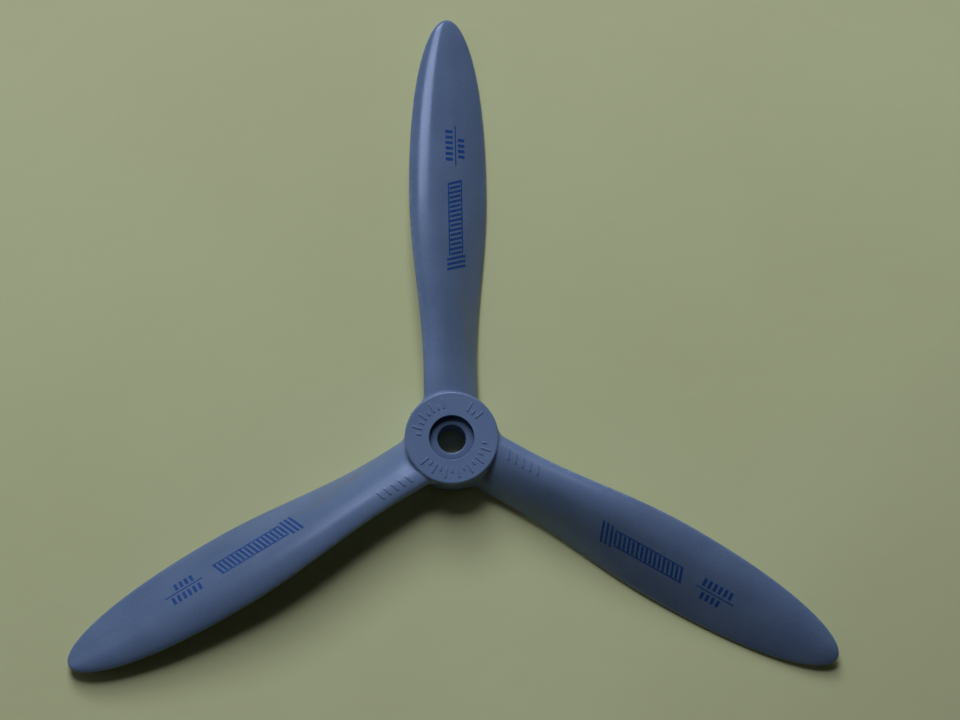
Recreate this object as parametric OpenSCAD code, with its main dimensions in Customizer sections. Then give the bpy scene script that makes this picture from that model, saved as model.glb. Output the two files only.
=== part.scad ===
// Three-blade propeller for a model aircraft, moulded in one piece, with a push-in shaft bush.
// The origin is the hub's centre on its back face. +Z points forward, along the shaft.
// blade_1 lies along +Y, and the propeller turns anticlockwise as seen from the front.

/* [Propeller] */
// Diameter over the blade tips
diameter = 200; // [190:1:240]
// Distance that the propeller advances in one turn
pitch = 150; // [110:1:155]

/* [Hub] */
// Diameter of the hub barrel
hub_diameter = 21.3; // [20:0.1:24]
// Thickness of the hub, back face to front face
hub_thickness = 10; // [10:0.5:13]
// Diameter of the hole that takes the shaft bush
hub_bore = 10.2; // [9:0.1:11]
// Radius of the rounded edge around the front face
front_edge = 0.5; // [0.2:0.1:0.8]
// Radius of the rounded edge around the back face
back_edge = 0.3; // [0.1:0.1:0.6]

/* [Shaft bush] */
// Diameter of the hole for the shaft
shaft_hole = 6.4; // [5:0.1:7.5]
// Length of the bush, which ends short of the front face and leaves a recess there
bush_length = 8.25; // [7:0.25:9]
// Gap between the bush and the hub, all round
bush_gap = 0.05; // [0.02:0.01:0.08]
// Chamfer on the ends of the bush
bush_chamfer = 0.3; // [0.1:0.1:0.5]

/* [Blades] */
// Width of a blade at its root, seen from the front
root_width = 11.9; // [11:0.1:12.1]
// Greatest width of a blade, seen from the front
blade_width = 17.8; // [16:0.1:18.5]
// Share of the tip radius at which a blade is widest
widest_at = 0.58; // [0.5:0.01:0.65]
// Fullness of the tip outline, where 2 is an ellipse
tip_fullness = 2.25; // [2:0.05:3]
// How far the tip is swept back, towards the trailing edge
tip_sweep = 0.7; // [0:0.1:2]
// Steepest blade angle, at the root
root_angle = 34; // [28:1:34]
// Radius of the fillet between a blade's edges and the barrel, seen from the front
root_fillet = 3; // [2:0.5:4]
// Thickness at the tip, as a share of the chord
tip_ratio = 0.125; // [0.1:0.005:0.14]
// Thickness at the root, as a share of the chord
root_ratio = 0.4; // [0.34:0.01:0.42]
// Thickness of the trailing edge
trailing_edge = 0.5; // [0.4:0.1:0.7]

/* [Raised marks] */
// Height of the raised marks above the surface that they stand on
mark_height = 0.15; // [0.1:0.05:0.3]
// Width of one raised mark
mark_width = 0.5; // [0.4:0.05:0.7]

/* [Hidden] */
$fn = 96;

nylon = "#4c5a72";
raised_nylon = "#5b6a82";

tip_r = diameter / 2;
hub_r = hub_diameter / 2;
bore_r = hub_bore / 2;

// Directions of the three blades, anticlockwise from +X
blade_1_turn = 90;
blade_2_turn = 210;
blade_3_turn = 330;

// Radius from which the outline starts to widen, and the radius where it is widest
neck_r = 15;
widest_r = widest_at * tip_r;
// Radius inside which the blade angle stops following the pitch, and how sharp that change is
steepest_r = pitch / (2 * PI * tan(root_angle));
angle_blend = 6;
// Radius where the thickness ratio is root_ratio, and the length over which it fades
thick_r = 12;
thick_fade = 17;
// Height of the chord's middle at the root and at the tip, and the radius where it starts to fall
mid_height_root = 0.47 * hub_thickness;
mid_height_tip = 0.22 * hub_thickness;
fall_r = 0.35 * tip_r;
// Camber as a share of the thickness, and how much of it the root loses
camber_share = 0.62;
camber_loss = 0.85;
// Share of the chord, from the leading edge, where the camber is greatest
camber_peak = 0.35;

// Points around one section, rings from the root to the widest place, and rings from there to the tip
section_points = 36;
inner_rings = 15;
outer_rings = 14;

function clamp01(x) = max(0, min(1, x));
function ease(x) = (1 - cos(180 * clamp01(x))) / 2;

// How much of the root's fat oval section is left at radius r
function root_share(r) = min(1, exp(-(r - thick_r) / thick_fade));

// Fillet between the blade's straight edge and the barrel's circle, which widens the root each side
fillet_x = root_width / 2 + root_fillet;
fillet_y = sqrt(pow(hub_r + root_fillet, 2) - pow(fillet_x, 2));
function fillet(r) = r >= fillet_y ? 0
    : root_fillet - sqrt(max(0, pow(root_fillet, 2) - pow(fillet_y - r, 2)));

function flare_at(r) = 1 + 2 * fillet(r) / root_width;

// The fillet touches the barrel here, and the blade's first ring is at the same place
first_r = fillet_y * hub_r / (hub_r + root_fillet);

// Width seen from the front: it eases out to the widest place, then closes like an ellipse
function inner_width(r) = root_width
    + (blade_width - root_width) * ease((r - neck_r) / (widest_r - neck_r));
function outer_width(r) = blade_width
    * sqrt(max(0, 1 - pow((r - widest_r) / (tip_r - widest_r), tip_fullness)));
function width_at(r) = r < widest_r ? inner_width(r) : outer_width(r);

// Blade angle of a helix of this pitch, eased to the root angle near the hub
function helix_r(r) = pow(pow(r, angle_blend) + pow(steepest_r, angle_blend), 1 / angle_blend);
function angle_at(r) = atan(pitch / (2 * PI * helix_r(r)));

function chord_at(r) = width_at(r) / cos(angle_at(r));
function ratio_at(r) = tip_ratio + (root_ratio - tip_ratio) * root_share(r);
function mid_height_at(r) = mid_height_root
    - (mid_height_root - mid_height_tip) * ease((r - fall_r) / (tip_r - fall_r));

// Half thickness of an aerofoil of chord 1 and thickness 1, and of an ellipse of the same size
function aerofoil(x) = 5 * (0.2969 * sqrt(x) - 0.126 * x - 0.3516 * x * x
    + 0.2843 * pow(x, 3) - 0.1036 * pow(x, 4));
function oval(x) = sqrt(max(0, x * (1 - x)));

// Rise of a camber line of height 1: two parabolas that meet at the peak
function camber_line(x) = x < camber_peak
    ? (2 * camber_peak * x - x * x) / pow(camber_peak, 2)
    : (1 - 2 * camber_peak + 2 * camber_peak * x - x * x) / pow(1 - camber_peak, 2);

// Rounded trailing edge, which closes over the last few hundredths of the chord
edge_power = 40;
function blunt_edge(x) = trailing_edge / 2 * x * sqrt(max(0, 1 - pow(x, edge_power)));

function half_thickness(x, r) = let (t = ratio_at(r) * chord_at(r), s = root_share(r))
    t * (s * oval(x) + (1 - s) * aerofoil(x)) + (1 - s) * min(1, t) * blunt_edge(x);
function camber(x, r) = camber_share * (1 - camber_loss * root_share(r)) * ratio_at(r) * chord_at(r)
    * camber_line(x);

// Sweep of the whole section towards the trailing edge
function sweep_at(r) = tip_sweep * pow(clamp01((r - neck_r) / (tip_r - neck_r)), 2);

// One point of the section at radius r. turn 0 is the trailing edge, and 180 the leading edge.
function section_point(r, turn) = let (
        x = (1 + cos(turn)) / 2,
        along = (x - 0.5) * chord_at(r),
        up = camber(x, r) + sign(sin(turn)) * half_thickness(x, r),
        a = angle_at(r))
    [(along * cos(a) + up * sin(a)) * flare_at(r) + sweep_at(r), r, mid_height_at(r) - along * sin(a) + up * cos(a)];

// Ring radii: closest at the root, then wider apart, then closer and closer to the tip
last_turn = 89;
inner_r = [for (i = [0:inner_rings - 1]) first_r + (widest_r - first_r) * pow(i / inner_rings, 1.5)];
outer_r = [for (i = [0:outer_rings]) widest_r + (tip_r - widest_r) * sin(last_turn * i / outer_rings)];
ring_r = concat(inner_r, outer_r);

module blade_loft() {
    last_ring = len(ring_r) - 1;
    n = section_points;
    points = [for (r = ring_r) for (k = [0:n - 1]) section_point(r, 360 * k / n)];
    sides = [for (i = [0:last_ring - 1]) for (k = [0:n - 1])
        [i * n + k, i * n + (k + 1) % n, (i + 1) * n + (k + 1) % n, (i + 1) * n + k]];
    root_cap = [[for (k = [n - 1:-1:0]) k]];
    tip_cap = [[for (k = [0:n - 1]) last_ring * n + k]];
    polyhedron(points, concat(sides, root_cap, tip_cap), convexity = 4);
}

// One blade along +Y, cut off where it meets the barrel
module blade_shape() {
    difference() {
        blade_loft();
        translate([0, 0, -1]) cylinder(r = hub_r, h = hub_thickness + 2);
    }
}

module blade(turn) {
    color(nylon) rotate([0, 0, turn - 90]) blade_shape();
}

// Quarter circle from angle start to start + 90 about (x, y), as points of a profile
function quarter(x, y, r, start) = [for (a = [0:15:90]) [x + r * cos(start + a), y + r * sin(start + a)]];

module hub() {
    color(nylon) rotate_extrude() polygon(concat(
        [[bore_r, 0]],
        quarter(hub_r - back_edge, back_edge, back_edge, 270),
        quarter(hub_r - front_edge, hub_thickness - front_edge, front_edge, 0),
        [[bore_r, hub_thickness]]));
}

module shaft_bush() {
    outer = bore_r - bush_gap;
    inner = shaft_hole / 2;
    color(nylon) rotate_extrude() polygon([
        [inner, 0],
        [outer - bush_chamfer, 0],
        [outer, bush_chamfer],
        [outer, bush_length],
        [inner, bush_length]]);
}

// Raised ticks on the front face, in three groups around the hole: first direction and count
marks_inner_r = 6.9;
marks_length = 2.4;
short_mark = 1.2;
mark_step = 10;
mark_groups = [[103, 8], [39, 3], [220, 14]];

module tick(length) {
    translate([marks_inner_r, -mark_width / 2, hub_thickness]) cube([length, mark_width, mark_height]);
}

module hub_face_marks() {
    color(raised_nylon) for (group = mark_groups) for (i = [0:group[1] - 1])
        rotate([0, 0, group[0] + i * mark_step]) tick(i % 2 == 0 ? marks_length : short_mark);
}

// Slanted raised bars near a blade's root, on the crest of its front surface
root_marks_r = 13.1;
root_mark_length = 2.2;
root_mark_step = 1.85;
root_mark_count = 5;
root_mark_slant = 20;
root_mark_depth = 0.4;
crest_turn = 136;

// Slope of the front surface across the blade, beside the crest
function crest_slope(r) = let (
        ahead = section_point(r, crest_turn + 10),
        behind = section_point(r, crest_turn - 10))
    atan((ahead[2] - behind[2]) / (behind[0] - ahead[0]));

module root_marks(turn) {
    color(raised_nylon) rotate([0, 0, turn - 90]) for (i = [0:root_mark_count - 1]) {
        r = root_marks_r + i * root_mark_step;
        translate(section_point(r, crest_turn))
            rotate([0, crest_slope(r), 0])
            rotate([0, 0, root_mark_slant])
            translate([-root_mark_length / 2, -mark_width / 2, -root_mark_depth])
            cube([root_mark_length, mark_width, root_mark_depth + mark_height]);
    }
}

// Stub left on the barrel where the moulding was cut from its runner
gate_turn = 146;
gate_r = 0.45;
gate_length = 0.4;
gate_height = 6;

module gate_nib() {
    color(nylon) rotate([0, 0, gate_turn]) difference() {
        translate([hub_r - 1, 0, gate_height]) rotate([0, 90, 0]) cylinder(r = gate_r, h = 1 + gate_length);
        cylinder(r = hub_r, h = hub_thickness);
    }
}

hub();
shaft_bush();
blade(blade_1_turn);  // blade_1
blade(blade_2_turn);  // blade_2
blade(blade_3_turn);  // blade_3
hub_face_marks();
root_marks(blade_2_turn);  // blade_2_root_marks
root_marks(blade_3_turn);  // blade_3_root_marks
gate_nib();
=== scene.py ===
import math

import bmesh
import bpy
from mathutils import Matrix, Vector


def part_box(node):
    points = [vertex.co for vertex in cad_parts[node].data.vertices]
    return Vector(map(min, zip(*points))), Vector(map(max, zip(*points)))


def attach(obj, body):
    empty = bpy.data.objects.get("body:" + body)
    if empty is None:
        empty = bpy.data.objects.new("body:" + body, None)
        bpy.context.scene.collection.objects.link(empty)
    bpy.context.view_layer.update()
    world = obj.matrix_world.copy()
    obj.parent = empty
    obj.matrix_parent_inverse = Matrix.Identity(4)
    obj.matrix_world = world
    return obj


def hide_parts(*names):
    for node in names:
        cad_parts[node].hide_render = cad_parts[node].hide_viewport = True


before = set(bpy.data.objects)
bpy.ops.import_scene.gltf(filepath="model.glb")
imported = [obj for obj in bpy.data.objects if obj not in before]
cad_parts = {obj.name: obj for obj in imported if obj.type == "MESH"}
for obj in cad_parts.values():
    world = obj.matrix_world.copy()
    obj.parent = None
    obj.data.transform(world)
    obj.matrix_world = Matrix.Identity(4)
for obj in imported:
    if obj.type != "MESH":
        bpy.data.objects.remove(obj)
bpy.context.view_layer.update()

# ---- Hub -------------------------------------------------------------------------------------
# A thick round barrel of glass-filled nylon, moulded in one shot with the three blades.
# Its front disc stands a little proud of the blade roots, and its hole takes the shaft bush.
MM = 0.001
TINY = 0.01 * MM

hub_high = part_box("hub")[1]
hub_r = hub_high.x
hub_top = hub_high.z
hub_bore_r = 5.1 * MM
front_edge = 0.5 * MM
back_edge = 0.3 * MM
bore_edge = 0.12 * MM
turned_sides = 192
flat_angle = 35


def pick(kind, wanted):
    """Selects, in edit mode, the verts, edges or faces that pass the test, and nothing else."""
    bpy.ops.mesh.select_mode(type={"verts": "VERT", "edges": "EDGE", "faces": "FACE"}[kind])
    bpy.ops.mesh.select_all(action="DESELECT")
    mesh = bpy.context.edit_object.data
    shape = bmesh.from_edit_mesh(mesh)
    for part in getattr(shape, kind):
        if wanted(part):
            part.select_set(True)
    bmesh.update_edit_mesh(mesh)


def on_rim(radius, height):
    """A test for the edges of the circle of this radius at this height."""
    return lambda edge: all(
        abs(math.hypot(v.co.x, v.co.y) - radius) < TINY and abs(v.co.z - height) < TINY
        for v in edge.verts)


def round_rim(radius, height, size, steps):
    """Rounds the circle of this radius at this height."""
    pick("edges", on_rim(radius, height))
    bpy.ops.mesh.bevel(offset=size, segments=steps, affect="EDGES")


def start(name):
    """Names the primitive just added, puts its place in its mesh and opens it for shaping."""
    piece = bpy.context.object
    piece.name = piece.data.name = name
    bpy.ops.object.transform_apply(location=True, rotation=True, scale=True)
    bpy.ops.object.mode_set(mode="EDIT")
    return piece


def ring(name, outer, inner, low, high):
    """A turned ring: both ends of a cylinder are inset, and the hole is bridged through."""
    bpy.ops.object.select_all(action="DESELECT")
    bpy.ops.mesh.primitive_cylinder_add(
        vertices=turned_sides, radius=outer, depth=high - low, location=(0, 0, (low + high) / 2))
    piece = start(name)
    pick("faces", lambda face: abs(face.normal.z) > 0.9)
    bpy.ops.mesh.inset(thickness=outer - inner)
    bpy.ops.mesh.bridge_edge_loops()
    return piece


def close_up(piece):
    """Ends the shaping: smooth shading, with the flat faces kept flat."""
    bpy.ops.object.mode_set(mode="OBJECT")
    bpy.ops.object.shade_smooth_by_angle(angle=math.radians(flat_angle))
    bpy.ops.object.modifier_add(type="WEIGHTED_NORMAL")
    piece.modifiers[-1].keep_sharp = True
    bpy.ops.object.modifier_apply(modifier=piece.modifiers[-1].name)


def link(material, source, out, target, into):
    """Joins an output of one node to an input of another."""
    material.node_tree.links.new(source.outputs[out], target.inputs[into])


def noise(material, scale, detail, source, out, stretch=(1, 1, 1)):
    """A noise of this scale per metre, on Object coordinates or on the piece's own place."""
    nodes = material.node_tree.nodes
    mapping = nodes.new("ShaderNodeMapping")
    mapping.inputs["Scale"].default_value = stretch
    link(material, source, out, mapping, "Vector")
    texture = nodes.new("ShaderNodeTexNoise")
    texture.inputs["Scale"].default_value = scale
    texture.inputs["Detail"].default_value = detail
    link(material, mapping, "Vector", texture, "Vector")
    return texture


def ramp(material, source, out, low, high, low_colour, high_colour):
    """Turns a grey pattern into a run between two colours."""
    node = material.node_tree.nodes.new("ShaderNodeValToRGB")
    node.color_ramp.elements[0].position = low
    node.color_ramp.elements[0].color = low_colour
    node.color_ramp.elements[1].position = high
    node.color_ramp.elements[1].color = high_colour
    link(material, source, out, node, "Fac")
    return node


def grey(value):
    """A grey of this value, as a colour."""
    return (value, value, value, 1)


def mix(material, kind, amount, share=None, first=None, second=None):
    """Mixes two colour patterns. Each is a (node, output) pair or a plain colour."""
    node = material.node_tree.nodes.new("ShaderNodeMix")
    node.data_type = "RGBA"
    node.blend_type = kind
    node.inputs[0].default_value = amount
    for socket, given in ((0, share), (6, first), (7, second)):
        if given is None:
            continue
        if isinstance(given[0], bpy.types.Node):
            material.node_tree.links.new(given[0].outputs[given[1]], node.inputs[socket])
        else:
            node.inputs[socket].default_value = given
    return node


cool_gloss = (0.70, 0.77, 1.0, 1)
root_smear = (0.22, 0.228, 0.20, 1)
grain_depth = 0.02 * MM


def nylon_finish(name, dark, light, on_blade):
    """Satin blue-grey nylon: faint clouds of shade and a fine moulded grain. The blades also have
    flow marks along their length, duller roots painted paler as painted light, and edges rubbed
    lighter."""
    material = bpy.data.materials.new(name)
    material.use_nodes = True
    nodes = material.node_tree.nodes
    shader = nodes["Principled BSDF"]
    shader.inputs["IOR"].default_value = 1.5
    shader.inputs["Specular IOR Level"].default_value = 0.56
    shader.inputs["Specular Tint"].default_value = cool_gloss
    place = nodes.new("ShaderNodeTexCoord")

    clouds = noise(material, 95, 4, place, "Object")
    body = ramp(material, clouds, "Fac", 0.3, 0.7, dark, light)
    specks = noise(material, 2600, 2, place, "Object")
    speck_tone = ramp(material, specks, "Fac", 0.35, 0.7, grey(0.93), grey(1.05))
    colour = mix(material, "MULTIPLY", 1, None, (body, "Color"), (speck_tone, "Color"))

    sheen_clouds = noise(material, 240, 3, place, "Object")
    gloss = ramp(material, sheen_clouds, "Fac", 0.3, 0.7, grey(0.21), grey(0.26))

    if on_blade:
        # Streaks along the blade, and a duller root painted paler as painted light. Here Y runs
        # out along the blade.
        own = nodes.new("ShaderNodeAttribute")
        own.attribute_name = "blade_place"
        flow = noise(material, 170, 3, own, "Vector", (1, 0.12, 1))
        flow_tone = ramp(material, flow, "Fac", 0.32, 0.72, grey(0.94), grey(1.07))
        colour = mix(material, "MULTIPLY", 1, None, (colour, 2), (flow_tone, "Color"))
        along = nodes.new("ShaderNodeSeparateXYZ")
        link(material, own, "Vector", along, "Vector")
        # Painted light: the root's colour is painted up to 17% lighter near the hub, fading out
        # along the blade.
        root_painted_light = ramp(material, along, "Y", 0.014, 0.042, grey(1.17), grey(1.0))
        colour = mix(material, "MULTIPLY", 1, None, (colour, 2), (root_painted_light, "Color"))
        root_matt = ramp(material, along, "Y", 0.02, 0.07, grey(1.5), grey(0.84))
        gloss = mix(material, "MULTIPLY", 1, None, (gloss, "Color"), (root_matt, "Color"))
        # A greyish smear on the front of the root, where the flows of melt met.
        root = nodes.new("ShaderNodeAttribute")
        root.attribute_name = "flow_mark"
        smear = noise(material, 420, 3, own, "Vector", (1, 0.16, 1))
        smear_share = ramp(material, smear, "Fac", 0.42, 0.66, grey(0), grey(0.75))
        smear_share = mix(
            material, "MULTIPLY", 1, None, (smear_share, "Color"), (root, "Color"))
        colour = mix(material, "MIX", 0, (smear_share, 2), (colour, 2), root_smear)
        # Edges and tip rubbed lighter.
        edge = nodes.new("ShaderNodeAttribute")
        edge.attribute_name = "edge_wear"
        rub = noise(material, 700, 4, place, "Object")
        rub_share = ramp(material, rub, "Fac", 0.4, 0.66, grey(0.1), grey(0.6))
        rub_share = mix(material, "MULTIPLY", 1, None, (rub_share, "Color"), (edge, "Color"))
        rubbed = (light[0] * 1.6, light[1] * 1.6, light[2] * 1.5, 1)
        colour = mix(material, "MIX", 0, (rub_share, 2), (colour, 2), rubbed)
    link(material, colour, 2, shader, "Base Color")
    link(material, gloss, 2 if on_blade else "Color", shader, "Roughness")

    grain = noise(material, 3200, 3, place, "Object")
    bump = nodes.new("ShaderNodeBump")
    bump.inputs["Strength"].default_value = 0.25
    bump.inputs["Distance"].default_value = grain_depth
    link(material, grain, "Fac", bump, "Height")
    link(material, bump, "Normal", shader, "Normal")
    return material


def finish_piece(piece, body, slot, material, *nodes):
    """Gives a finished piece its material and its body, and hides the nodes it replaces. The slot
    argument is not used.
    """
    piece.data.materials.clear()
    piece.data.materials.append(material)
    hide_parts(*nodes)
    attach(piece, body)


# Painted light: the hub's nylon is painted lighter than the blades', though they are one moulding,
# for the light on the hub. The disc ticks, root bars and gate nib share it.
hub_tones_painted_light = ((0.188, 0.268, 0.452, 1), (0.223, 0.311, 0.512, 1))
hub_nylon_painted_light = nylon_finish("hub_nylon_painted_light", *hub_tones_painted_light, on_blade=False)

hub = ring("hub_barrel", hub_r, hub_bore_r, 0, hub_top)
round_rim(hub_r, hub_top, front_edge, 6)
round_rim(hub_r, 0, back_edge, 4)
round_rim(hub_bore_r, hub_top, bore_edge, 3)
round_rim(hub_bore_r, 0, bore_edge, 3)
close_up(hub)
finish_piece(hub, "propeller", "nylon", hub_nylon_painted_light, "hub")

# ---- Shaft bush ------------------------------------------------------------------------------
# A plain moulded sleeve that fits the hub's hole to a 6.4 mm shaft. It is pushed in from the
# back until its two back faces are level, which leaves a shallow recess in front.
bush_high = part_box("shaft_bush")[1]
bush_r = bush_high.x
bush_top = bush_high.z
shaft_r = 3.2 * MM
bush_front_edge = 0.1 * MM
bush_lead_in = 0.3 * MM
shaft_front_edge = 0.25 * MM
shaft_back_edge = 0.15 * MM
# Painted shade: the sleeve's nylon is painted darker than the hub's and the blades', for the shade
# in the recess where it sits.
bush_tones_painted_shade = ((0.136, 0.195, 0.320, 1), (0.161, 0.227, 0.365, 1))
bush_nylon_painted_shade = nylon_finish("bush_nylon_painted_shade", *bush_tones_painted_shade, on_blade=False)

bush = ring("shaft_sleeve", bush_r, shaft_r, 0, bush_top)
round_rim(bush_r, bush_top, bush_front_edge, 2)
round_rim(bush_r, 0, bush_lead_in, 1)
round_rim(shaft_r, bush_top, shaft_front_edge, 3)
round_rim(shaft_r, 0, shaft_back_edge, 2)
close_up(bush)
finish_piece(bush, "bush", "bush", bush_nylon_painted_shade, "shaft_bush")

# ---- Blades ----------------------------------------------------------------------------------
# Three equal blades in the hub's moulding: a fat oval root that thins into a cambered aerofoil,
# twisted for 150 mm pitch, with a rounded tip, a blunt trailing edge and a fillet at the barrel.
# All sizes in this section are in millimetres, for a blade that points along +Y.
blade_turns = {"blade_1": 90, "blade_2": 210, "blade_3": 330}
tip_r = 100.0
pitch = 150.0
barrel_r = hub_r / MM
barrel_top = hub_top / MM
root_width = 11.9
blade_width = 17.8
widest_r = 58.0
tip_fullness = 2.25
tip_sweep = 0.7
root_angle = 34
angle_blend = 6
steepest_r = pitch / (2 * math.pi * math.tan(math.radians(root_angle)))
root_fillet = 3.0
neck_r = 15.0
thick_r = 12.0
thick_fade = 17.0
tip_ratio = 0.125
root_ratio = 0.4
trailing_edge = 0.5
camber_share = 0.62
camber_loss = 0.85
camber_peak = 0.35
mid_height_root = 4.7
mid_height_tip = 2.2
fall_r = 35.0
face_fillet = 0.45
disc_step = 0.3
sunk = 0.8
tip_gap = 0.02
edge_wear_width = 0.25
edge_wear_from = 12
edge_wear_rise = 10
tip_wear_length = 0.6
smear_r, smear_length = 27, 8
smear_x, smear_width = 3.6, 1.5
section_points = 96
root_rings = 14
inner_rings = 52
outer_rings = 46
straight_r = 14.5
fillet_x = root_width / 2 + root_fillet
fillet_y = math.sqrt((barrel_r + root_fillet) ** 2 - fillet_x ** 2)
first_r = fillet_y * barrel_r / (barrel_r + root_fillet)


def clamp01(x):
    """Keeps a share between 0 and 1."""
    return max(0.0, min(1.0, x))


def ease(x):
    """A share that starts and ends gently."""
    return (1 - math.cos(math.pi * clamp01(x))) / 2


def root_share(r):
    """How far the section at this radius is still the root's oval."""
    return min(1.0, math.exp(-(r - thick_r) / thick_fade))


def flare_at(r):
    """How much wider the fillet at the barrel makes the blade."""
    if r >= fillet_y:
        return 1.0
    rise = root_fillet - math.sqrt(max(0.0, root_fillet ** 2 - (fillet_y - r) ** 2))
    return 1 + 2 * rise / root_width


def width_at(r):
    """Width of the blade, seen from the front."""
    if r < widest_r:
        return root_width + (blade_width - root_width) * ease((r - neck_r) / (widest_r - neck_r))
    past = (r - widest_r) / (tip_r - widest_r)
    return blade_width * math.sqrt(max(0.0, 1 - past ** tip_fullness))


def angle_at(r):
    """Angle of the section to the disc: the pitch helix, held back near the root."""
    helix_r = (r ** angle_blend + steepest_r ** angle_blend) ** (1 / angle_blend)
    return math.atan(pitch / (2 * math.pi * helix_r))


def mid_height_at(r):
    """Height of the section's middle above the back of the hub."""
    fallen = ease((r - fall_r) / (tip_r - fall_r))
    return mid_height_root - (mid_height_root - mid_height_tip) * fallen


def section_point(r, turn):
    """A point of the section at radius r. turn 0 is the trailing edge, 180 degrees the leading."""
    angle = angle_at(r)
    chord = width_at(r) / math.cos(angle)
    share = root_share(r)
    thick = (tip_ratio + (root_ratio - tip_ratio) * share) * chord
    x = (1 + math.cos(math.radians(turn))) / 2
    oval = math.sqrt(max(0.0, x * (1 - x)))
    aerofoil = 5 * (0.2969 * math.sqrt(x) - 0.126 * x - 0.3516 * x ** 2
                    + 0.2843 * x ** 3 - 0.1036 * x ** 4)
    blunt = trailing_edge / 2 * x * math.sqrt(max(0.0, 1 - x ** 40))
    half = thick * (share * oval + (1 - share) * aerofoil) + (1 - share) * min(1.0, thick) * blunt
    if x < camber_peak:
        rise = (2 * camber_peak * x - x * x) / camber_peak ** 2
    else:
        rise = (1 - 2 * camber_peak + 2 * camber_peak * x - x * x) / (1 - camber_peak) ** 2
    camber = camber_share * (1 - camber_loss * share) * thick * rise
    side = math.sin(math.radians(turn))
    up = camber + (half if side > 1e-9 else -half if side < -1e-9 else 0)
    along = (x - 0.5) * chord
    sweep = tip_sweep * clamp01((r - neck_r) / (tip_r - neck_r)) ** 2
    return Vector((
        (along * math.cos(angle) + up * math.sin(angle)) * flare_at(r) + sweep,
        r,
        mid_height_at(r) - along * math.sin(angle) + up * math.cos(angle)))


def radius_on_barrel(turn):
    """Where this line of the blade meets the barrel."""
    low, high = first_r, barrel_r + 1
    for _ in range(40):
        middle = (low + high) / 2
        inside = math.hypot(section_point(middle, turn).x, middle) < barrel_r
        low, high = (middle, high) if inside else (low, middle)
    return high


def outward(r, turn):
    """Direction square to the section's outline, out of the blade."""
    step = 2
    run = section_point(r, turn + step) - section_point(r, turn - step)
    return Vector((run.z, 0, -run.x)).normalized()


def root_point(share, turn):
    """A point of the first rings, which bend from a straight section onto the round barrel."""
    r = radius_on_barrel(turn)
    r += (straight_r - r) * share
    point = section_point(r, turn)
    gap = max(0.0, math.hypot(point.x, point.y) - barrel_r)
    out = outward(r, turn)
    room = barrel_top - disc_step - point.z if out.z > 0 else point.z
    size = max(0.05, min(face_fillet, room))
    if gap < size:
        point.z += out.z * (size - math.sqrt(max(0.0, size ** 2 - (size - gap) ** 2)))
    return point


inner_r = [straight_r + (widest_r - straight_r) * i / inner_rings for i in range(1, inner_rings)]
outer_r = [widest_r + (tip_r - widest_r) * math.sin(math.radians(89.7 * i / outer_rings))
           for i in range(outer_rings + 1)]
plain_r = inner_r + outer_r
last_ring = root_rings + 1 + len(plain_r)


def loft_point(ring_number, turn):
    """A point of any ring, from the one sunk into the barrel to the one at the tip."""
    if ring_number == 0:
        point = root_point(0, turn)
        point.y = math.sqrt((barrel_r - sunk) ** 2 - point.x ** 2)
        return point
    if ring_number <= root_rings + 1:
        return root_point(((ring_number - 1) / root_rings) ** 2, turn)
    return section_point(plain_r[ring_number - root_rings - 2], turn)


bpy.ops.object.select_all(action="DESELECT")
bpy.ops.mesh.primitive_cylinder_add(
    vertices=section_points, radius=1, depth=1, location=(0, 0, 0.5), end_fill_type="NOTHING")
blade = start("blade_1_moulding")
pick("edges", lambda edge: abs(edge.verts[0].co.z - edge.verts[1].co.z) > 0.5)
bpy.ops.mesh.subdivide(number_cuts=last_ring - 1)
bpy.ops.object.mode_set(mode="OBJECT")

blade.data.attributes.new("blade_place", "FLOAT_VECTOR", "POINT")
blade.data.attributes.new("edge_wear", "FLOAT", "POINT")
blade.data.attributes.new("flow_mark", "FLOAT", "POINT")
places, wear, flow_mark = (
    blade.data.attributes[name] for name in ("blade_place", "edge_wear", "flow_mark"))
for v in blade.data.vertices:
    turn = round(math.degrees(math.atan2(v.co.y, v.co.x)) % 360, 3)
    point = loft_point(round(v.co.z * last_ring), turn)
    v.co = point * MM
    places.data[v.index].vector = (point.x * MM, point.y * MM, 0)
    to_edge = min(1 + math.cos(math.radians(turn)), 1 - math.cos(math.radians(turn))) / 2
    to_edge *= width_at(point.y)
    near_edge = math.exp(-(to_edge / edge_wear_width) ** 2)
    near_edge *= clamp01((point.y - edge_wear_from) / edge_wear_rise)
    near_tip = math.exp(-((tip_r - point.y) / tip_wear_length) ** 2)
    wear.data[v.index].value = max(near_edge, near_tip)
    on_front = 1 if math.sin(math.radians(turn)) > 0 else 0
    flow_mark.data[v.index].value = on_front * math.exp(
        -((point.y - smear_r) / smear_length) ** 2 - ((point.x - smear_x) / smear_width) ** 2)

bpy.ops.object.mode_set(mode="EDIT")
pick("verts", lambda v: v.co.y > (tip_r - tip_gap) * MM)
bpy.ops.mesh.merge(type="CENTER")
pick("edges", lambda edge: edge.is_boundary)
bpy.ops.mesh.edge_face_add()
bpy.ops.mesh.select_all(action="SELECT")
bpy.ops.mesh.normals_make_consistent(inside=False)
bpy.ops.object.mode_set(mode="OBJECT")
bpy.ops.object.shade_smooth_by_angle(angle=math.radians(60))


def turned_copy(piece, name, degrees):
    """A copy with its own mesh, turned about the shaft."""
    copy = piece.copy()
    copy.data = piece.data.copy()
    copy.name = copy.data.name = name
    copy.data.transform(Matrix.Rotation(math.radians(degrees), 4, "Z"))
    bpy.context.collection.objects.link(copy)
    return copy


blades = {"blade_1": blade}
for name in ("blade_2", "blade_3"):
    blades[name] = turned_copy(blade, name + "_moulding", blade_turns[name] - 90)

blade_tones = ((0.158, 0.225, 0.372, 1), (0.189, 0.262, 0.424, 1))
blade_nylon = nylon_finish("blade_nylon", *blade_tones, on_blade=True)
for name, piece in blades.items():
    finish_piece(piece, "propeller", "nylon", blade_nylon, name)

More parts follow.
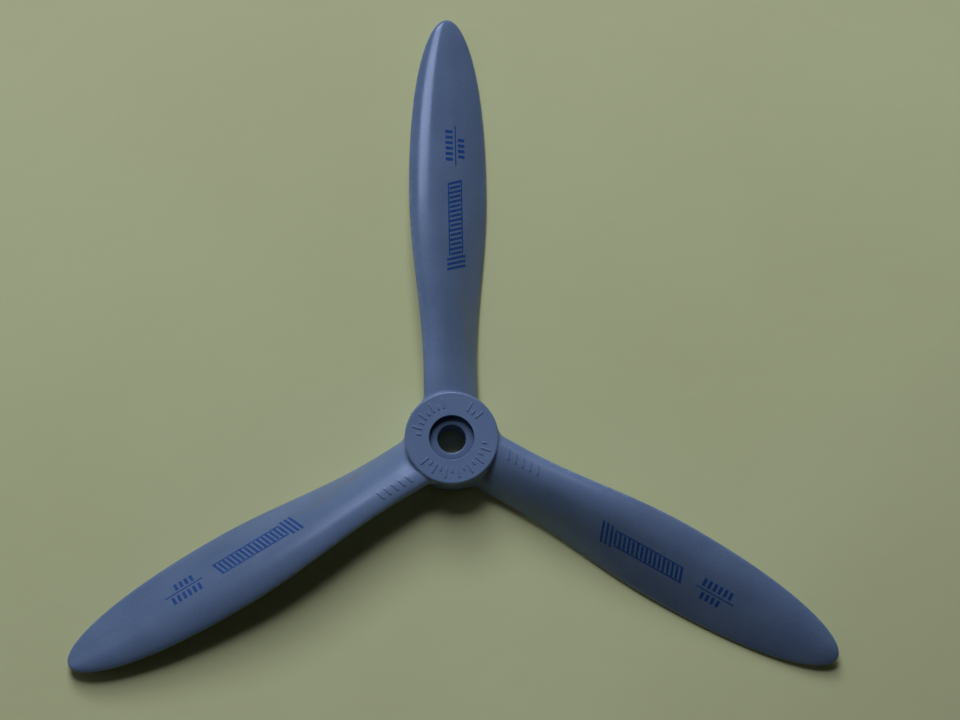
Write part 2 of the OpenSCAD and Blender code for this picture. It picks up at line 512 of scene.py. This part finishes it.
# ---- Raised ticks on the hub's disc ----------------------------------------------------------
# Low relief of the same moulding, in three groups around the hole: long and short ticks in turn.
# They come out of pockets cut in the mould, so their top edges are rounded.
tick_inner_r = 6.9 * MM
tick_lengths = (2.4 * MM, 1.2 * MM)
tick_width = 0.5 * MM
tick_height = 0.15 * MM
tick_depth = 0.15 * MM
tick_edge = 0.11 * MM
tick_end_share = 0.36
tick_step = 10
# Each group: turn of its first tick in degrees, number of ticks.
tick_groups = ((103, 8), (39, 3), (220, 14))


def tick_shape(length):
    """A low tick along X with round ends and top edges, set a little into the disc."""
    bpy.ops.object.select_all(action="DESELECT")
    bpy.ops.mesh.primitive_cube_add(
        size=1, location=(tick_inner_r + length / 2, 0, hub_top + (tick_height - tick_depth) / 2),
        scale=(length, tick_width, tick_height + tick_depth))
    piece = start("tick")
    top = hub_top + tick_height
    pick("edges", lambda edge: abs(edge.verts[0].co.z - edge.verts[1].co.z) > tick_height / 2)
    bpy.ops.mesh.bevel(offset=tick_width * tick_end_share, segments=5, affect="EDGES")
    pick("edges", lambda edge: all(abs(v.co.z - top) < TINY for v in edge.verts))
    bpy.ops.mesh.bevel(offset=tick_edge, segments=4, affect="EDGES")
    bpy.ops.object.mode_set(mode="OBJECT")
    bpy.ops.object.shade_smooth_by_angle(angle=math.radians(50))
    return piece


def join(pieces, name):
    """Joins separate like pieces into one object."""
    bpy.ops.object.select_all(action="DESELECT")
    for piece in pieces:
        piece.select_set(True)
    bpy.context.view_layer.objects.active = pieces[0]
    bpy.ops.object.join()
    pieces[0].name = pieces[0].data.name = name
    return pieces[0]


first_ticks = [tick_shape(length) for length in tick_lengths]
ticks = [
    turned_copy(first_ticks[i % 2], "tick", first + i * tick_step)
    for first, count in tick_groups for i in range(count)]
for tick in first_ticks:
    bpy.data.objects.remove(tick)
hub_ticks = join(ticks, "hub_disc_ticks")
finish_piece(hub_ticks, "propeller", "nylon", hub_nylon_painted_light, "hub_face_marks")

# ---- Raised bars on two blade roots ----------------------------------------------------------
# Five slanted bars on the crest of the lower two roots, relief of the same moulding.
# Each one is laid on the surface, so it follows the crest's curve, and is rounded on top.
# Sizes without MM are in millimetres.
root_bar_first = 13.1
root_bar_step = 1.85
root_bar_count = 5
root_bar_length = 2.2
root_bar_slant = 20
root_bar_corner = 0.18
root_bar_depth = 0.3 * MM
root_bar_edge = 0.1 * MM
crest_turn = 136


def flat_shape(name, x, r, width, length, lean=0.0, corner=0.0):
    """A flat rectangle above the upright blade, across it by width and along it by length, in
    millimetres. It may be leant along the blade, in degrees, and rounded at the corners."""
    bpy.ops.object.select_all(action="DESELECT")
    bpy.ops.mesh.primitive_plane_add(size=1)
    bpy.ops.transform.resize(value=(width * MM, length * MM, 1))
    piece = start(name)
    if corner:
        pick("edges", lambda edge: True)
        bpy.ops.mesh.bevel(offset=corner * MM, segments=3, affect="VERTICES")
    bpy.ops.object.mode_set(mode="OBJECT")
    slope = math.tan(math.radians(lean))
    for v in piece.data.vertices:
        v.co = Vector((v.co.x + x * MM, v.co.y + r * MM + v.co.x * slope, 2 * hub_top))
    return piece


def lay_on_blade(piece, rounds, lift, thickness):
    """Divides a flat shape, drops it on the front of the upright blade and thickens it down."""
    bpy.ops.object.select_all(action="DESELECT")
    piece.select_set(True)
    bpy.context.view_layer.objects.active = piece
    bpy.ops.object.mode_set(mode="EDIT")
    bpy.ops.mesh.select_all(action="SELECT")
    bpy.ops.mesh.quads_convert_to_tris()
    for _ in range(rounds):
        bpy.ops.mesh.subdivide(number_cuts=1)
    bpy.ops.object.mode_set(mode="OBJECT")
    wrap = piece.modifiers.new("wrap", "SHRINKWRAP")
    wrap.target = blade
    wrap.wrap_method = "PROJECT"
    wrap.use_project_x = wrap.use_project_y = False
    wrap.use_project_z = True
    wrap.use_negative_direction = True
    wrap.use_positive_direction = False
    wrap.offset = lift
    bpy.ops.object.modifier_apply(modifier="wrap")
    depth = piece.modifiers.new("depth", "SOLIDIFY")
    depth.thickness = thickness
    depth.offset = -1
    bpy.ops.object.modifier_apply(modifier="depth")


bar_places = [root_bar_first + i * root_bar_step for i in range(root_bar_count)]
bars_up = join([
    flat_shape("bar", section_point(r, crest_turn).x, r, root_bar_length, tick_width / MM,
               root_bar_slant, root_bar_corner)
    for r in bar_places], "bars")
lay_on_blade(bars_up, 3, tick_height, tick_height + root_bar_depth)
rounding = bars_up.modifiers.new("rounding", "BEVEL")
rounding.width = root_bar_edge
rounding.segments = 3
rounding.angle_limit = math.radians(60)
bpy.ops.object.modifier_apply(modifier="rounding")
bpy.ops.object.shade_smooth_by_angle(angle=math.radians(50))
for name in ("blade_2", "blade_3"):
    bars = turned_copy(bars_up, name + "_root_bars", blade_turns[name] - 90)
    finish_piece(bars, "propeller", "nylon", hub_nylon_painted_light, name + "_root_marks")
bpy.data.objects.remove(bars_up)

# ---- Gate nib --------------------------------------------------------------------------------
# The stub where the runner was cut off the barrel: a short ragged pin at the hub's upper left.
nib_turn = 146
nib_r = 0.45 * MM
nib_length = 1.2 * MM
nib_height = 6 * MM
nib_reach = 0.4 * MM
nib_dent = (-0.12 * MM, 0, 0.05 * MM)
nib_tear = 0.1 * MM
bpy.ops.object.select_all(action="DESELECT")
bpy.ops.mesh.primitive_cylinder_add(
    vertices=20, radius=nib_r, depth=nib_length, rotation=(0, math.pi / 2, 0),
    location=(hub_r + nib_reach - nib_length / 2, 0, nib_height))
nib = start("gate_stub")
pick("faces", lambda face: face.normal.x > 0.9)
bpy.ops.mesh.inset(thickness=nib_r * 0.35)
bpy.ops.mesh.inset(thickness=nib_r * 0.3)
bpy.ops.transform.translate(value=nib_dent)
pick("verts", lambda v: v.co.x > hub_r + nib_reach - TINY and v.co.y > nib_tear)
bpy.ops.transform.translate(value=(-nib_tear, 0, 0))
bpy.ops.object.mode_set(mode="OBJECT")
bpy.ops.object.shade_smooth_by_angle(angle=math.radians(40))
nib.data.transform(Matrix.Rotation(math.radians(nib_turn), 4, "Z"))
finish_piece(nib, "propeller", "nylon", hub_nylon_painted_light, "gate_nib")

# ---- Printed marks ---------------------------------------------------------------------------
# Two blue pad-printed marks on the front of each blade: a long hatched band that starts with
# three taller strokes and, nearer the tip, a ruled line between two rows of short strokes.
# Sizes without MM are in millimetres.
ink_lift = 0.02 * MM
ink_thickness = 0.016 * MM
ink_lean = 20
band_x = 1.8
lead_count = 3
lead_width = 4.2
hatch_first = 39.9
hatch_step = 1.12
hatch_count = 19
hatch_widths = (3.0, 2.5)
hatch_line = 0.62
rail_line = 0.28
rule_x = 2.1
rule_r = (64.2, 73.8)
rule_line = 0.28
stroke_line = 0.75
# Each row: place across the blade, stroke width, first radius, step, number of strokes.
rows = ((0.65, 1.7, 65.6, 1.33, 6), (3.4, 1.5, 66.4, 1.33, 4))
ink_tones = ((0.020, 0.078, 0.290, 1), (0.030, 0.100, 0.340, 1))

ink_pieces = []
for i in range(hatch_count):
    width = lead_width if i < lead_count else hatch_widths[i % 2]
    ink_pieces.append(
        flat_shape("ink", band_x, hatch_first + i * hatch_step, width, hatch_line, ink_lean))
rail_first = hatch_first + lead_count * hatch_step
rail_last = hatch_first + (hatch_count - 1) * hatch_step
rail_length = rail_last - rail_first + hatch_line
ink_slope = math.tan(math.radians(ink_lean))
for side in (-1, 1):
    reach = side * hatch_widths[0] / 2
    rail_middle = (rail_first + rail_last) / 2 + reach * ink_slope
    ink_pieces.append(flat_shape("ink", band_x + reach, rail_middle, rail_line, rail_length))
ink_pieces.append(flat_shape("ink", rule_x, sum(rule_r) / 2, rule_line, rule_r[1] - rule_r[0]))
ink_pieces += [
    flat_shape("ink", x, first + i * step, width, stroke_line)
    for x, width, first, step, count in rows for i in range(count)]
print_up = join(ink_pieces, "print")
lay_on_blade(print_up, 3, ink_lift, ink_thickness)

ink = bpy.data.materials.new("blue_print")
ink.use_nodes = True
ink_shader = ink.node_tree.nodes["Principled BSDF"]
ink_shader.inputs["Specular IOR Level"].default_value = 0.35
ink_shader.inputs["Specular Tint"].default_value = cool_gloss
ink_place = ink.node_tree.nodes.new("ShaderNodeTexCoord")
ink_cover = noise(ink, 900, 4, ink_place, "Object")
ink_tone = ramp(ink, ink_cover, "Fac", 0.35, 0.7, *ink_tones)
link(ink, ink_tone, "Color", ink_shader, "Base Color")
ink_gloss = ramp(ink, ink_cover, "Fac", 0.3, 0.7, grey(0.34), grey(0.5))
link(ink, ink_gloss, "Color", ink_shader, "Roughness")

for name, turn in blade_turns.items():
    marks = turned_copy(print_up, name + "_print", turn - 90)
    marks.data.materials.clear()
    marks.data.materials.append(ink)
    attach(marks, "propeller")
bpy.data.objects.remove(print_up)

# ---- Paper -----------------------------------------------------------------------------------
# The propeller lies on its back on a pale sheet of soft yellow-green paper, slightly uneven.
paper_size = 2.4
paper_squares = 300
swell_size = 0.09
swell_height = 0.35 * MM
fibre_depth = 0.3 * MM
paper_tones = ((0.800, 0.795, 0.418, 1), (0.862, 0.865, 0.466, 1))
# Painted shade on the paper: where its darkening towards the lower right starts and ends, and how
# dark it gets.
painted_shade_from, painted_shade_to, painted_shade_deepest = 0.06, 0.15, 0.84

bpy.ops.object.select_all(action="DESELECT")
bpy.ops.mesh.primitive_grid_add(
    x_subdivisions=paper_squares, y_subdivisions=paper_squares, size=paper_size,
    location=(0, 0, 0))
floor = start("paper_sheet")
bpy.ops.object.mode_set(mode="OBJECT")
swell = bpy.data.textures.new("swell", "CLOUDS")
swell.noise_scale = swell_size
swell.noise_depth = 2
rise = floor.modifiers.new("swell", "DISPLACE")
rise.texture = swell
rise.texture_coords = "LOCAL"
rise.mid_level = 1.0  # so the paper only sinks, and never reaches above the hub's back face
rise.strength = swell_height
bpy.ops.object.modifier_apply(modifier="swell")
bpy.ops.object.shade_smooth()
paper = bpy.data.materials.new("pale_paper")
paper.use_nodes = True
paper_shader = paper.node_tree.nodes["Principled BSDF"]
paper_shader.inputs["Specular IOR Level"].default_value = 0.2
paper_shader.inputs["Roughness"].default_value = 0.85
paper_place = paper.node_tree.nodes.new("ShaderNodeTexCoord")
paper_clouds = noise(paper, 9, 5, paper_place, "Object")
paper_tone = ramp(paper, paper_clouds, "Fac", 0.3, 0.7, *paper_tones)
# Painted shade: the paper is painted a little darker towards the lower right, for the shade that
# falls there.
paper_slant = paper.node_tree.nodes.new("ShaderNodeMapping")
paper_slant.inputs["Rotation"].default_value = (0, 0, math.radians(45))
link(paper, paper_place, "Object", paper_slant, "Vector")
paper_split = paper.node_tree.nodes.new("ShaderNodeSeparateXYZ")
link(paper, paper_slant, "Vector", paper_split, "Vector")
paper_painted_shade = ramp(paper, paper_split, "X", painted_shade_from, painted_shade_to, grey(1.0), grey(painted_shade_deepest))
paper_colour = mix(paper, "MULTIPLY", 1, None, (paper_tone, "Color"), (paper_painted_shade, "Color"))
link(paper, paper_colour, 2, paper_shader, "Base Color")
paper_fibre = noise(paper, 160, 6, paper_place, "Object")
paper_bump = paper.node_tree.nodes.new("ShaderNodeBump")
paper_bump.inputs["Strength"].default_value = 0.25
paper_bump.inputs["Distance"].default_value = fibre_depth
link(paper, paper_fibre, "Fac", paper_bump, "Height")
link(paper, paper_bump, "Normal", paper_shader, "Normal")
floor.data.materials.append(paper)

# ---- Light -----------------------------------------------------------------------------------
# A tall soft light like a window, in three panes beyond the upright blade, a weaker one on the
# left like a pale wall, and a faint warm light all round.
window_distance = 1.4
window_colour = (0.86, 0.94, 1.10)
# Each light: name, turn from +Y and height above the paper in degrees, height of its own in
# degrees, width in metres, power in watts.
lights = (
    ("upper_pane", 9, 56.2, 12.4, 0.6, 3.7),
    ("middle_pane", 9, 43.5, 13, 0.6, 2.5),
    ("lower_pane", 9, 30.5, 13, 0.6, 4.9),
    ("side_wall", 75, 35, 30, 1.0, 0.6))
for name, turn, height, spread, width, energy in lights:
    pane_data = bpy.data.lights.new(name, "AREA")
    pane_data.shape = "RECTANGLE"
    pane_data.size = width
    pane_data.size_y = 2 * window_distance * math.tan(math.radians(spread / 2))
    pane_data.energy = energy
    pane_data.color = window_colour
    pane = bpy.data.objects.new(name, pane_data)
    bpy.context.collection.objects.link(pane)
    raised = Matrix.Rotation(math.radians(height), 3, "X") @ Vector((0, 1, 0))
    direction = Matrix.Rotation(math.radians(turn), 3, "Z") @ raised
    pane.location = direction * window_distance
    pane.rotation_euler = direction.to_track_quat("Z", "Y").to_euler()

world = bpy.data.worlds.new("room")
world.use_nodes = True
room_light = world.node_tree.nodes["Background"]
room_light.inputs["Color"].default_value = (1.0, 0.94, 0.75, 1)
room_light.inputs["Strength"].default_value = 0.012
bpy.context.scene.world = world

# ---- Camera ----------------------------------------------------------------------------------
# A long lens held above the part and a little in front of it, looking down at the hub.
half_view = 8
camera_data = bpy.data.cameras.new("camera")
camera_data.sensor_width = 36
camera_data.lens = camera_data.sensor_width / 2 / math.tan(math.radians(half_view))
camera = bpy.data.objects.new("camera", camera_data)
bpy.context.collection.objects.link(camera)
camera.location = (-0.0069, -0.1261, 0.7707)
camera.rotation_euler = [math.radians(a) for a in (10.72, -0.82, -1.09)]
bpy.context.scene.camera = camera
bpy.context.scene.view_settings.view_transform = "Standard"
